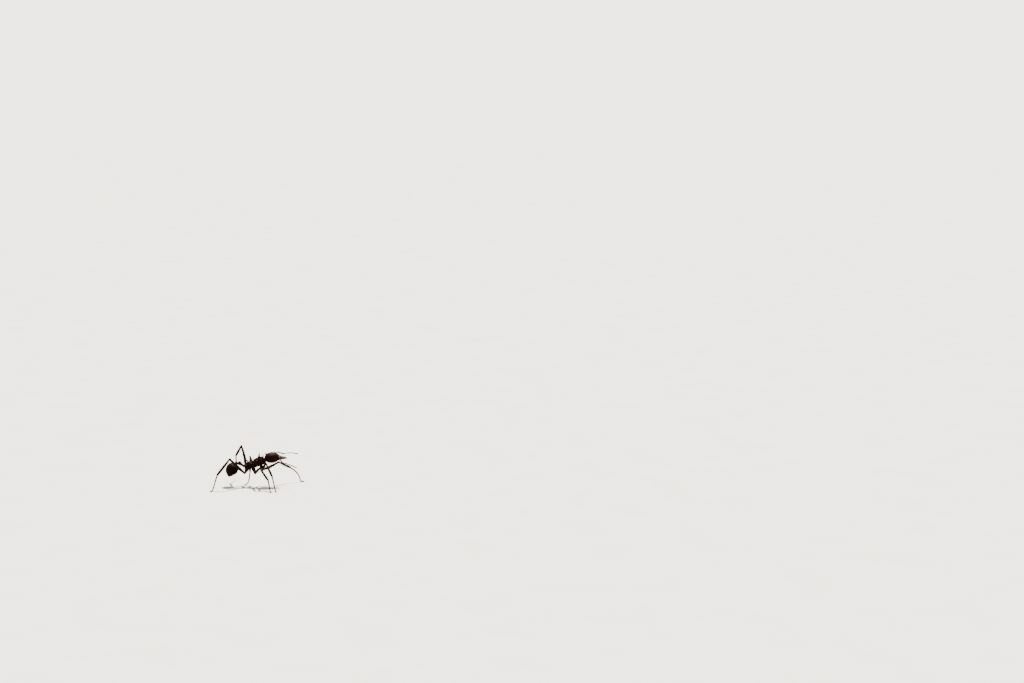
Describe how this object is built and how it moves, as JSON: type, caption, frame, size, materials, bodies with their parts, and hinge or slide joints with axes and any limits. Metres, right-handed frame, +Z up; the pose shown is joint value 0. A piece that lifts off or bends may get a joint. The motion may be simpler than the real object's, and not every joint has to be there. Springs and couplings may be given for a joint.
{
  "type": "leafcutter ant model",
  "caption": "Still life-size model of a leafcutter ant forager walking on a flat floor, head raised, jaws closed as if on a load, one hind leg lifted.",
  "frame": {"origin": "middle of the bounding box in plan, on the floor the feet stand on", "axes": "+Z up, the head faces -Y, the ant's right side is -X"},
  "size_m": [0.0136, 0.016, 0.0066],
  "materials": {
    "body_shell": "dark red-brown shell, finely grained",
    "gaster_shell": "near-black brown smooth shell",
    "leg_shell": "amber to red-brown shell",
    "jaw_shell": "dark hard shell, blackened teeth",
    "eye_shell": "black facetted eye"
  },
  "bodies": {
    "root": {"coxa_front_l": "leg_shell", "coxa_front_r": "leg_shell", "coxa_hind_l": "leg_shell", "coxa_hind_r": "leg_shell", "coxa_middle_l": "leg_shell", "coxa_middle_r": "leg_shell", "eye_l": "eye_shell", "eye_r": "eye_shell", "femur_front_l": "leg_shell", "femur_front_r": "leg_shell", "femur_hind_l": "leg_shell", "femur_hind_r": "leg_shell", "femur_middle_l": "leg_shell", "femur_middle_r": "leg_shell", "funiculus_l": "leg_shell", "funiculus_r": "leg_shell", "gaster": "gaster_shell", "head": "body_shell", "mandible_l": "jaw_shell", "mandible_r": "jaw_shell", "mesonotum": "body_shell", "petiole": "body_shell", "postpetiole": "body_shell", "pronotum": "body_shell", "propodeum": "body_shell", "scape_l": "leg_shell", "scape_r": "leg_shell", "tarsus_front_l": "leg_shell", "tarsus_front_r": "leg_shell", "tarsus_hind_l": "leg_shell", "tarsus_hind_r": "leg_shell", "tarsus_middle_l": "leg_shell", "tarsus_middle_r": "leg_shell", "tibia_front_l": "leg_shell", "tibia_front_r": "leg_shell", "tibia_hind_l": "leg_shell", "tibia_hind_r": "leg_shell", "tibia_middle_l": "leg_shell", "tibia_middle_r": "leg_shell"}
  },
  "joints": []
}
